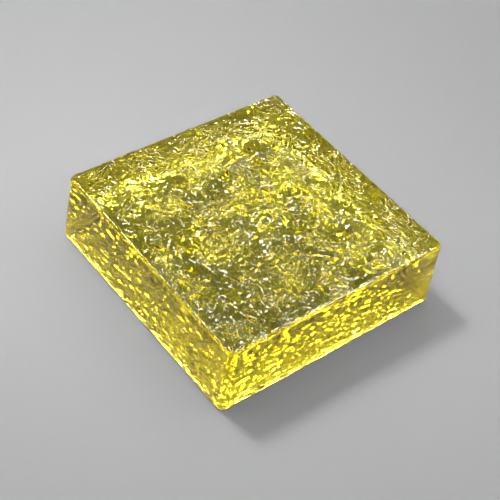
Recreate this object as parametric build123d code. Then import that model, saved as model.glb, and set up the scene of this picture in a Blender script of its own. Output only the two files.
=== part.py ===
from build123d import *
from math import cos, pi, radians, sin, tan
import os

# A solid cast-glass building block: one square slab of lemon-yellow glass. It was pressed in an
# open mould, so its four sides lean in by a small draft towards the open face, its upright corners
# and both rims are rounded, its base is flat, and the open face kept the swells of the poured glass.
# Origin: centre of the base. +Z: base to wavy face. Lengths are in millimetres, angles in degrees.

# Driving sizes of the block
base_width = 200.0          # side of the base along X, where the sides would meet the bed
base_depth = 200.0          # side of the base along Y
thickness = 60.0            # base to the rim of the open face
draft_angle = 1.7           # lean of each side
corner_radius = 6.0         # upright corners, at the base
top_rim_radius = 3.5        # rounding of the rim of the open face
base_rim_radius = 2.0       # rounding of the rim of the base

# The swells of the open face: straight waves that cross each other
swell_count = 4             # how many waves cross
swell_height = 0.30         # crest of each wave over the mean level
swell_spacing = 50.0        # crest to crest of the shortest wave
swell_stretch = 1.27        # each further wave is longer by this factor
swell_heading = 20.0        # way that the shortest wave runs, from +X
swell_turn = 67.0           # each further wave is turned on by this angle
swell_lead = 57.0           # and starts this much of a turn further along

# The folds between them: shorter waves whose crests wander
fold_count = 5              # how many waves cross
fold_height = 0.36          # crest of each wave over the mean level
fold_spacing = 25.0         # crest to crest of the shortest wave
fold_stretch = 1.13         # each further wave is longer by this factor
fold_heading = 35.0         # way that the shortest wave runs, from +X
fold_turn = 73.0            # each further wave is turned on by this angle
fold_lead = 131.0           # and starts this much of a turn further along
wander = 5.0                # how far a crest strays to each side
wander_spacing = 61.0       # length of a crest from one bend to the same bend again
knots_per_fold = 5          # points along the shortest wave that carry the surface

# The shallow dish that the face sank to as it cooled
face_sink = 2.1             # depth of its middle, without the waves, below the rim
face_square = 6             # power of its outline: 2 is an ellipse, and more comes nearer to a square


def swell(x, y):
    """Height of the swells: the sum of the straight waves."""
    height = 0.0
    for wave in range(swell_count):
        length = swell_spacing * swell_stretch**wave
        heading = radians(swell_heading + swell_turn * wave)
        along = x * cos(heading) + y * sin(heading)
        height += swell_height * sin(2 * pi * along / length + radians(swell_lead * wave))
    return height


def fold(x, y):
    """Height of the folds: the sum of the wandering waves."""
    height = 0.0
    for wave in range(fold_count):
        length = fold_spacing * fold_stretch**wave
        heading = radians(fold_heading + fold_turn * wave)
        along = x * cos(heading) + y * sin(heading)
        across = y * cos(heading) - x * sin(heading)
        stray = wander * sin(2 * pi * across / wander_spacing + radians(fold_lead * wave))
        height += fold_height * sin(2 * pi * (along + stray) / length + radians(fold_lead * wave))
    return height


def relief(x, y):
    """Height of the open face over the rim: the dish, with waves that die out at its outline."""
    lean = thickness * tan(radians(draft_angle))
    outline_x = base_width / 2 - lean - top_rim_radius
    outline_y = base_depth / 2 - lean - top_rim_radius
    way_out = abs(x / outline_x) ** face_square + abs(y / outline_y) ** face_square
    waves = swell(x, y) + fold(x, y)
    return waves * max(0, 1 - way_out) ** 2 - face_sink * (1 - way_out)


def moulded_slab():
    """What the mould gives: a square prism, its sides leaning in, with both of its rims rounded."""
    with BuildPart() as slab:
        with BuildSketch():
            RectangleRounded(base_width, base_depth, corner_radius)
        extrude(amount=thickness, taper=draft_angle)
        fillet(slab.faces().sort_by(Axis.Z)[-1].edges(), top_rim_radius)
        fillet(slab.faces().sort_by(Axis.Z)[0].edges(), base_rim_radius)
    return slab.part


def air_above():
    """The space over the glass: a block of air whose underside is the open face."""
    knot_spacing = fold_spacing / knots_per_fold
    reach = max(base_width, base_depth) / 2 + knot_spacing
    knots = round(2 * reach / knot_spacing)
    places = [reach * (2 * knot / knots - 1) for knot in range(knots + 1)]
    points = [[Vector(x, y, thickness + relief(x, y)) for y in places] for x in places]
    open_face = Face.make_surface_from_array_of_points(points)
    return Solid.extrude(open_face, Vector(0, 0, thickness))


os.makedirs("parts", exist_ok=True)
block = moulded_slab() - air_above()
print("volume", block.volume, "box", block.bounding_box())
export_step(block, "parts/glass_block.step")
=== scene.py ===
import bpy
import numpy as np
from mathutils import Matrix, Vector


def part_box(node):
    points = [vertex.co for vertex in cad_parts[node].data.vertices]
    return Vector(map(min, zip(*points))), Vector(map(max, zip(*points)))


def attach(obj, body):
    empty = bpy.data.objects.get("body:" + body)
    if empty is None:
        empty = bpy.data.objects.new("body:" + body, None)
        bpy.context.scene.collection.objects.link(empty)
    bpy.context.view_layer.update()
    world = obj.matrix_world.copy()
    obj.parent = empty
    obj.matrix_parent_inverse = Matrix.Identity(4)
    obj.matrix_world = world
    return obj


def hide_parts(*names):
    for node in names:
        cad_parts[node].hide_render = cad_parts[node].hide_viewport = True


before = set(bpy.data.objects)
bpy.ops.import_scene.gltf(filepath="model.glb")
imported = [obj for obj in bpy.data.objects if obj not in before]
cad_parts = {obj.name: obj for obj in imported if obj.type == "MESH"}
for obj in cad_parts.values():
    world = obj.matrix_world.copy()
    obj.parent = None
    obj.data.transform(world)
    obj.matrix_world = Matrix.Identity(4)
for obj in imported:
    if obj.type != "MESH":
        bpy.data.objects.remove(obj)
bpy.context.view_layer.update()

# Glass block
# One solid piece of lemon-yellow soda-lime glass, poured into an open square mould and cooled slowly.
# Its drafted sides took the mould's smooth walls and its base the mould's hammered bed. The top is the
# free surface of the pour: it sank to a shallow dish of swells, folds, wrinkles and creases.
MM = 0.001
base_half = round(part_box("glass_block")[1][0] / MM)
thickness = 60.0
draft_angle = 1.7
draft_slope = np.tan(np.radians(draft_angle))
corner_radius = 6.0
top_rim_radius = 3.5
top_corner_radius = 3.5
base_rim_radius = 2.0
top_half = base_half - draft_slope * thickness - top_rim_radius

swell_count, swell_height, swell_spacing, swell_stretch = 4, 0.30, 50.0, 1.27
swell_heading, swell_turn, swell_lead = 20.0, 67.0, 57.0
fold_count, fold_height, fold_spacing, fold_stretch = 5, 0.36, 25.0, 1.13
fold_heading, fold_turn, fold_lead = 35.0, 73.0, 131.0
wander, wander_spacing = 5.0, 61.0
face_sink, face_square = 2.1, 6


def swell(x, y):
    """Sum of straight sine waves, each longer than the last, turned on and started further along."""
    height = 0
    for wave in range(swell_count):
        heading = np.radians(swell_heading + swell_turn * wave)
        along = x * np.cos(heading) + y * np.sin(heading)
        turns = along / (swell_spacing * swell_stretch**wave) + swell_lead * wave / 360
        height = height + swell_height * np.sin(2 * np.pi * turns)
    return height


def fold(x, y):
    """Sum of shorter sine waves whose crests wander: each is pushed along its way by a slow sine
    wave that runs across it."""
    height = 0
    for wave in range(fold_count):
        heading = np.radians(fold_heading + fold_turn * wave)
        along = x * np.cos(heading) + y * np.sin(heading)
        across = y * np.cos(heading) - x * np.sin(heading)
        lead = fold_lead * wave / 360
        stray = wander * np.sin(2 * np.pi * (across / wander_spacing + lead))
        turns = (along + stray) / (fold_spacing * fold_stretch**wave) + lead
        height = height + fold_height * np.sin(2 * np.pi * turns)
    return height


def soft_noise(x, y, seed):
    """Smooth noise from about -1 to 1, which repeats after 64 points: each whole-number point has a
    slope in a seeded direction, the four slopes round (x, y) are blended by the curve
    6t^5 - 15t^4 + 10t^3, and the blend is made half as high again."""
    repeat = 64
    turns = np.random.default_rng(seed).random((repeat, repeat)) * 2 * np.pi
    cell_x, cell_y = np.floor(x).astype(int), np.floor(y).astype(int)
    part_x, part_y = x - cell_x, y - cell_y
    blend_x = part_x**3 * (part_x * (part_x * 6 - 15) + 10)
    blend_y = part_y**3 * (part_y * (part_y * 6 - 15) + 10)

    def slope_from(i, j):
        """Height at (x, y) of the plane through the cell's corner (i, j), by its own slope."""
        turn = turns[(cell_x + i) % repeat, (cell_y + j) % repeat]
        return np.cos(turn) * (part_x - i) + np.sin(turn) * (part_y - j)

    front = slope_from(0, 0) * (1 - blend_x) + slope_from(1, 0) * blend_x
    back = slope_from(0, 1) * (1 - blend_x) + slope_from(1, 1) * blend_x
    return (front * (1 - blend_y) + back * blend_y) * 1.5


def push(x, y, size, reach, seed):
    """How far (x, y) is pushed along X and along Y: two noises of that size, times the reach."""
    return [reach * soft_noise(x / size, y / size, seed + axis) for axis in (0, 1)]


wrinkle_height, wrinkle_size, wrinkle_squash, wrinkle_seed = 1.4, 5.5, 0.9, 26
crease_height, crease_size, crease_squash, crease_seed = 2.1, 3.1, 0.85, 7
drift, drift_size, drift_seed = 7.0, 19.0, 1
curl, curl_size, curl_seed = 3.0, 7.0, 3
patch_size, patch_mean, patch_swing, patch_least, patch_seed = 26.0, 0.6, 1.1, 0.15, 8
calm_rim_width, calm_rim_share = 5.0, 0.35
cooling_sink = 0.8


def wrinkles(x, y):
    """Noise of two sizes, a little shorter along Y than along X, read at places that larger noise has
    pushed aside. The finer one comes in patches, in which the other is higher too, and both are lower
    near the rim."""
    drift_x, drift_y = push(x, y, drift_size, drift, drift_seed)
    curl_x, curl_y = push(x, y, curl_size, curl, curl_seed)
    u, v = x + drift_x + curl_x, y + drift_y + curl_y
    wrinkle = soft_noise(u / wrinkle_size, v / (wrinkle_squash * wrinkle_size), wrinkle_seed)
    crease = soft_noise(u / crease_size, v / (crease_squash * crease_size), crease_seed)
    patch = patch_mean + patch_swing * soft_noise(x / patch_size, y / patch_size, patch_seed)
    patch = np.clip(patch, patch_least, 1)
    from_rim = top_half - np.maximum(np.abs(x), np.abs(y))
    calm = calm_rim_share + (1 - calm_rim_share) * np.clip(from_rim / calm_rim_width, 0, 1)
    return calm * (wrinkle_height * wrinkle * (0.5 + 0.5 * patch) + crease_height * crease * patch)


def relief(x, y):
    """Height of the open face over the rim: a shallow dish whose outline is a squared ellipse, with
    swells and folds that die out at the outline, and wrinkles that run on over the rim. All of it is
    lower by what the glass sank as it cooled."""
    way_out = np.abs(x / top_half) ** face_square + np.abs(y / top_half) ** face_square
    calm = np.maximum(0, 1 - way_out)
    return (swell(x, y) + fold(x, y)) * calm**2 - face_sink * calm + wrinkles(x, y) - cooling_sink


base_seam_width = 1.5
hammered_half = base_half - base_rim_radius - base_seam_width
hammer_depth, hammer_size, hammer_seed = 2.8, 5.0, 9
bend, bend_size, bend_seed = 5.0, 15.0, 11
foot_width = 4.0


def hammered(x, y):
    """Depth of the base's dimples: one noise, read at places that larger noise has pushed aside,
    which starts from nothing at the edge and is at its full depth inside the foot's width."""
    bend_x, bend_y = push(x, y, bend_size, bend, bend_seed)
    dimple = 0.5 + 0.5 * soft_noise((x + bend_x) / hammer_size, (y + bend_y) / hammer_size, hammer_seed)
    from_edge = hammered_half - np.maximum(np.abs(x), np.abs(y))
    return hammer_depth * np.clip(from_edge / foot_width, 0, 1) * np.clip(dimple, 0, 1)


def rounded_square(a, b, half, radius):
    """The square of that half-width, (a, b) from -1 to 1, with its corners drawn in: each point goes
    to one radius from the smaller square that the corner arcs are struck from. Inner rings of the
    square keep less of the radius, as the cube of their size."""
    size = np.maximum(np.abs(a), np.abs(b))
    arc = radius * size**3
    inner = half * size - arc
    core_x, core_y = np.clip(a * half, -inner, inner), np.clip(b * half, -inner, inner)
    out_x, out_y = a * half - core_x, b * half - core_y
    length = np.maximum(np.hypot(out_x, out_y), 1e-9)
    return core_x + out_x / length * arc, core_y + out_y / length * arc


def square_grid(cells):
    """Two arrays of the places -1 to 1 along a square's sides."""
    places = np.linspace(-1, 1, cells + 1)
    return np.meshgrid(places, places, indexing="ij")


def border(cells):
    """Numbers of a square grid's outer points, counter-clockwise."""
    numbers = np.arange((cells + 1) ** 2).reshape(cells + 1, cells + 1)
    return np.concatenate([numbers[:-1, 0], numbers[-1, :-1], numbers[:0:-1, -1], numbers[0, :0:-1]])


def grid_faces(cells, first):
    """Four-cornered faces of a square grid whose first point has that number, facing up."""
    numbers = np.arange((cells + 1) ** 2).reshape(cells + 1, cells + 1) + first
    corners = [numbers[:-1, :-1], numbers[1:, :-1], numbers[1:, 1:], numbers[:-1, 1:]]
    return np.stack(corners, -1).reshape(-1, 4)


# The free surface: a square grid, lifted by the relief.
top_cells = 248
grid_a, grid_b = square_grid(top_cells)
top_x, top_y = rounded_square(grid_a, grid_b, top_half, top_corner_radius)
top_z = thickness + relief(top_x, top_y)
top_points = np.stack([top_x, top_y, top_z], -1).reshape(-1, 3)

# The rim, the sides and the base's rim: rings round the block, each with its inset and height. The
# rings near the top also rise and fall with the wavy edge of the free surface.
rim_rings, wall_rings, foot_rings = 6, 5, 6
wall_top, wall_foot = thickness - 2 * top_rim_radius, 2 * base_rim_radius
ripple_reach, ripple_fade = 22.0, 1.5
rim_turns = np.radians(np.linspace(0, 90 - draft_angle, rim_rings + 1))[1:]
rim_insets = top_rim_radius * (1 - np.sin(rim_turns))
rim_heights = thickness - top_rim_radius * (1 - np.cos(rim_turns))
wall_heights = np.linspace(wall_top, wall_foot, wall_rings)
foot_turns = np.radians(np.linspace(-draft_angle, 90, foot_rings))
foot_insets = base_rim_radius * (1 - np.cos(foot_turns))
foot_heights = base_rim_radius * (1 - np.sin(foot_turns))
ring_insets = np.concatenate([rim_insets, np.zeros(wall_rings), foot_insets])
ring_heights = np.concatenate([rim_heights, wall_heights, foot_heights])
edge = border(top_cells)
edge_a, edge_b = grid_a.reshape(-1)[edge], grid_b.reshape(-1)[edge]
edge_rise = top_points[edge, 2] - thickness
rings = []
for inset, z in zip(ring_insets, ring_heights):
    half = base_half - draft_slope * z - inset
    x, y = rounded_square(edge_a, edge_b, half, corner_radius - inset)
    share = np.clip((z - thickness + ripple_reach) / ripple_reach, 0, 1) ** ripple_fade
    rings.append(np.stack([x, y, z + edge_rise * share], -1))
rings = np.array(rings)

# The base: a grid with one of its points to every two of the last ring.
base_cells = top_cells // 2
base_a, base_b = square_grid(base_cells)
base_x, base_y = rounded_square(base_a, base_b, hammered_half, corner_radius - base_rim_radius)
base_points = np.stack([base_x, base_y, hammered(base_x, base_y)], -1).reshape(-1, 3)

# The faces between the rings, and a seam of three triangles to every point of the base's edge.
ring_count, ring_length = rings.shape[:2]
ring_numbers = len(top_points) + np.arange(ring_count * ring_length).reshape(ring_count, ring_length)
loops = np.vstack([edge[None], ring_numbers])
after = np.roll(loops, -1, axis=1)
side_faces = np.stack([loops[:-1], loops[1:], after[1:], after[:-1]], -1).reshape(-1, 4)
first_base = len(top_points) + ring_count * ring_length
pairs = loops[-1].reshape(-1, 2)
outer = np.concatenate([pairs, np.roll(pairs[:, :1], -1, axis=0)], 1)
inner = first_base + border(base_cells)
inner_after = np.roll(inner, -1)
seam_faces = np.concatenate([
    np.stack([outer[:, 0], inner, outer[:, 1]], -1),
    np.stack([outer[:, 1], inner, inner_after], -1),
    np.stack([outer[:, 1], inner_after, outer[:, 2]], -1),
])
points = np.concatenate([top_points, rings.reshape(-1, 3), base_points]) * MM
base_faces = grid_faces(base_cells, first_base)[:, ::-1]
faces = [grid_faces(top_cells, 0), side_faces, base_faces, seam_faces]

block_mesh = bpy.data.meshes.new("cast_block")
block_mesh.from_pydata(points.tolist(), [], [face for part in faces for face in part.tolist()])
block_mesh.shade_smooth()
block = bpy.data.objects.new("cast_block", block_mesh)
bpy.context.scene.collection.objects.link(block)
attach(block, "root")
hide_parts("glass_block")

# The glass is clear and coloured through its mass. Its skin has slow streaks of a paler melt, is
# fire-polished unevenly, and has a faint orange peel.
glass = bpy.data.materials.new("yellow_glass")
glass.use_nodes = True
nodes, links = glass.node_tree.nodes, glass.node_tree.links
shader = nodes["Principled BSDF"]
shader.inputs["IOR"].default_value = 1.52
shader.inputs["Transmission Weight"].default_value = 1.0
colour_depth = nodes.new("ShaderNodeVolumeAbsorption")
colour_depth.inputs["Color"].default_value = (0.990, 0.960, 0.05, 1)
colour_depth.inputs["Density"].default_value = 30
links.new(colour_depth.outputs["Volume"], nodes["Material Output"].inputs["Volume"])
block_mesh.materials.append(glass)

where = nodes.new("ShaderNodeTexCoord")
streaks = nodes.new("ShaderNodeTexNoise")
streaks.inputs["Scale"].default_value = 14
streaks.inputs["Distortion"].default_value = 1.5
links.new(where.outputs["Object"], streaks.inputs["Vector"])
melt_colour = nodes.new("ShaderNodeValToRGB")
melt_colour.color_ramp.elements[0].position = 0.35
melt_colour.color_ramp.elements[0].color = (1.0, 0.975, 0.74, 1)
melt_colour.color_ramp.elements[1].position = 0.65
melt_colour.color_ramp.elements[1].color = (1.0, 0.99, 0.86, 1)
links.new(streaks.outputs[0], melt_colour.inputs[0])
links.new(melt_colour.outputs[0], shader.inputs["Base Color"])

polish = nodes.new("ShaderNodeTexNoise")
polish.inputs["Scale"].default_value = 40
links.new(where.outputs["Object"], polish.inputs["Vector"])
polish_range = nodes.new("ShaderNodeMapRange")
polish_range.inputs["From Min"].default_value = 0.35
polish_range.inputs["From Max"].default_value = 0.75
polish_range.inputs["To Max"].default_value = 0.006
links.new(polish.outputs[0], polish_range.inputs["Value"])
links.new(polish_range.outputs[0], shader.inputs["Roughness"])

peel = nodes.new("ShaderNodeTexNoise")
peel.inputs["Scale"].default_value = 260
links.new(where.outputs["Object"], peel.inputs["Vector"])
peel_bump = nodes.new("ShaderNodeBump")
peel_bump.inputs["Distance"].default_value = 0.03 * MM
links.new(peel.outputs[0], peel_bump.inputs["Height"])
links.new(peel_bump.outputs[0], shader.inputs["Normal"])

# Floor
# A level, matt, pale studio floor, wide enough to fill the picture. The block lies on it by its own
# weight. The floor's face is a fifth of a millimetre below the base, so that the two don't coincide.
floor_half = 6.0
floor_gap = 0.2 * MM
floor_mesh = bpy.data.meshes.new("studio_floor")
floor_sides = [(-1, -1), (1, -1), (1, 1), (-1, 1)]
floor_corners = [(floor_half * x, floor_half * y, -floor_gap) for x, y in floor_sides]
floor_mesh.from_pydata(floor_corners, [], [(0, 1, 2, 3)])
floor = bpy.data.objects.new("studio_floor", floor_mesh)
bpy.context.scene.collection.objects.link(floor)
paint = bpy.data.materials.new("pale_floor_paint")
paint.use_nodes = True
paint_shader = paint.node_tree.nodes["Principled BSDF"]
paint_shader.inputs["Base Color"].default_value = (0.78, 0.78, 0.78, 1)
paint_shader.inputs["Roughness"].default_value = 0.9
floor_mesh.materials.append(paint)

# Painted light: the floor's paint glows amber under the block's two far edges, in place of the light
# that would come down through the glass. Only rays that went through the glass see this painted glow,
# so the shadow beside the block stays.
painted_glow_colour, painted_glow_strength = (1.0, 0.9, 0.55, 1), 0.15
painted_glow_start, painted_glow_full, painted_glow_end = 65 * MM, 95 * MM, 101 * MM
paint_nodes, paint_links = paint.node_tree.nodes, paint.node_tree.links
floor_place = paint_nodes.new("ShaderNodeTexCoord")
floor_axes = paint_nodes.new("ShaderNodeSeparateXYZ")
paint_links.new(floor_place.outputs["Object"], floor_axes.inputs[0])
far_way = paint_nodes.new("ShaderNodeMath")
far_way.operation = "MAXIMUM"
paint_links.new(floor_axes.outputs["X"], far_way.inputs[0])
paint_links.new(floor_axes.outputs["Y"], far_way.inputs[1])
painted_glow_share = paint_nodes.new("ShaderNodeMapRange")
painted_glow_share.inputs["From Min"].default_value = painted_glow_start
painted_glow_share.inputs["From Max"].default_value = painted_glow_full
painted_glow_share.inputs["To Max"].default_value = painted_glow_strength
paint_links.new(far_way.outputs[0], painted_glow_share.inputs["Value"])
painted_glow_footprint = paint_nodes.new("ShaderNodeMath")
painted_glow_footprint.operation = "LESS_THAN"
painted_glow_footprint.inputs[1].default_value = painted_glow_end
paint_links.new(far_way.outputs[0], painted_glow_footprint.inputs[0])
ray = paint_nodes.new("ShaderNodeLightPath")
painted_glow_mask = paint_nodes.new("ShaderNodeMath")
painted_glow_mask.operation = "MULTIPLY"
paint_links.new(ray.outputs["Is Transmission Ray"], painted_glow_mask.inputs[0])
paint_links.new(painted_glow_footprint.outputs[0], painted_glow_mask.inputs[1])
painted_glow = paint_nodes.new("ShaderNodeMath")
painted_glow.operation = "MULTIPLY"
paint_links.new(painted_glow_mask.outputs[0], painted_glow.inputs[0])
paint_links.new(painted_glow_share.outputs[0], painted_glow.inputs[1])
# The floor's emission is a painted glow: the floor is no lamp.
paint_shader.inputs["Emission Color"].default_value = painted_glow_colour
paint_links.new(painted_glow.outputs[0], paint_shader.inputs["Emission Strength"])

# Studio light
# Softboxes round the block, each for one job. A wide one overhead and a key lamp light the floor, four
# glint lamps shine on the face and two on the near rims, and six stand over the glass, behind it and
# at its corners, where they are seen through it. Three dim ones lift the floor close round the block.
block_middle = Vector((0, 0, thickness / 2 * MM))


def softbox(name, place, size, radiance, through=False, diffuse=False, glossy=False, shadow=True):
    """A rectangular lamp facing the block. Its power is its radiance times its area times pi. It is
    seen through glass, lights matt surfaces or shines in gloss only where that is asked for."""
    data = bpy.data.lights.new(name, "AREA")
    data.shape = "RECTANGLE"
    data.size, data.size_y = size
    data.energy = radiance * size[0] * size[1] * np.pi
    data.use_shadow = shadow
    lamp = bpy.data.objects.new(name, data)
    lamp.location = place
    lamp.rotation_mode = "QUATERNION"
    lamp.rotation_quaternion = (block_middle - Vector(place)).to_track_quat("-Z", "Y")
    lamp.visible_camera = False
    lamp.visible_transmission = through
    lamp.visible_diffuse = diffuse
    lamp.visible_glossy = glossy
    bpy.context.scene.collection.objects.link(lamp)


softbox("sky", (0, 0, 4), (10, 10), 0.35, diffuse=True)
softbox("key", (-0.15, 0.62, 1.15), (0.25, 0.25), 25, diffuse=True)
softbox("glint_left", (-0.15, 0.62, 1.15), (0.25, 0.25), 45, glossy=True)
softbox("glint_right", (0.65, -0.13, 1.13), (0.25, 0.25), 45, glossy=True)
softbox("glint_over", (0.2, 0.2, 1.4), (0.25, 0.25), 30, glossy=True)
softbox("glint_low", (1.3, 1.25, 0.6), (0.3, 0.3), 40, glossy=True)
softbox("rim_left", (-0.75, 0.62, 0.88), (0.5, 0.2), 40, glossy=True)
softbox("rim_front", (0.66, -0.72, 0.86), (0.5, 0.2), 40, glossy=True)
softbox("corner_far", (0.68, 0.66, 0.96), (0.3, 0.3), 12, through=True)
softbox("corner_left", (-0.68, 0.66, 0.96), (0.4, 0.4), 20, through=True)
softbox("corner_right", (0.68, -0.66, 0.96), (0.4, 0.4), 20, through=True)
softbox("corner_near", (-0.68, -0.66, 0.96), (0.3, 0.3), 16, through=True)
softbox("behind", (0.6, 0.9, 0.9), (0.22, 0.22), 60, through=True)
softbox("overhead", (0.05, 0.05, 1.4), (0.5, 0.5), 4, through=True)
softbox("floor_near", (-0.6, -0.6, 1.2), (0.5, 0.5), 0.05, diffuse=True, shadow=False)
softbox("floor_left", (-0.10, 0.15, 0.28), (0.1, 0.1), 4, diffuse=True, shadow=False)
softbox("floor_right", (0.15, -0.10, 0.28), (0.1, 0.1), 2, diffuse=True, shadow=False)

# Studio walls
# A grey backdrop near the floor, and a dark ceiling that starts a little over it. The glass has both
# to show, so that its bright streaks stand beside dark ones.
studio = bpy.data.worlds.new("studio")
bpy.context.scene.world = studio
studio.use_nodes = True
studio_nodes, studio_links = studio.node_tree.nodes, studio.node_tree.links
way = studio_nodes.new("ShaderNodeTexCoord")
height_of_way = studio_nodes.new("ShaderNodeSeparateXYZ")
studio_links.new(way.outputs["Generated"], height_of_way.inputs[0])
wall_shade = studio_nodes.new("ShaderNodeValToRGB")
studio_links.new(height_of_way.outputs["Z"], wall_shade.inputs[0])
wall_shade.color_ramp.elements[0].position = 0.2
wall_shade.color_ramp.elements[0].color = (0.3, 0.3, 0.3, 1)
wall_shade.color_ramp.elements[1].position = 0.28
wall_shade.color_ramp.elements[1].color = (0.0, 0.0, 0.0, 1)
studio_links.new(wall_shade.outputs[0], studio_nodes["Background"].inputs[0])

# Camera
# It looks down on the near corner from the side, at the photograph's angle and field of view. Its
# place, its view and the way to the picture's right come from fitting the block's seven seen corners.
eye = Vector((-0.4789, -0.4630, 0.6943))
ahead = Vector((0.505, 0.487, -0.713)).normalized()
rightward = Vector((0.780, -0.611, 0.135))
rightward = (rightward - ahead * rightward.dot(ahead)).normalized()
upward = rightward.cross(ahead)
photo_width = 500
lens_in_pixels = 1270
lens = bpy.data.cameras.new("camera")
lens.sensor_width = 36.0
lens.lens = lens_in_pixels / photo_width * lens.sensor_width
lens.clip_start = 0.01
lens.clip_end = 50
camera = bpy.data.objects.new("camera", lens)
turned = Matrix((rightward, upward, -ahead)).transposed().to_4x4()
camera.matrix_world = Matrix.Translation(eye) @ turned
bpy.context.scene.collection.objects.link(camera)
bpy.context.scene.camera = camera

# Picture
# Plain colours, and seven bounces for light that runs to and fro inside the glass. Caustics are off,
# because they flatten the glass, and nothing is blurred or clamped, so that its fine lines stay sharp.
bounces_in_glass = 7
studio_scene = bpy.context.scene
studio_scene.view_settings.view_transform = "Standard"
studio_scene.cycles.max_bounces = bounces_in_glass
studio_scene.cycles.glossy_bounces = bounces_in_glass
studio_scene.cycles.transmission_bounces = bounces_in_glass
studio_scene.cycles.diffuse_bounces = 3
studio_scene.cycles.blur_glossy = 0
studio_scene.cycles.caustics_reflective = False
studio_scene.cycles.caustics_refractive = False
studio_scene.cycles.sample_clamp_indirect = 0
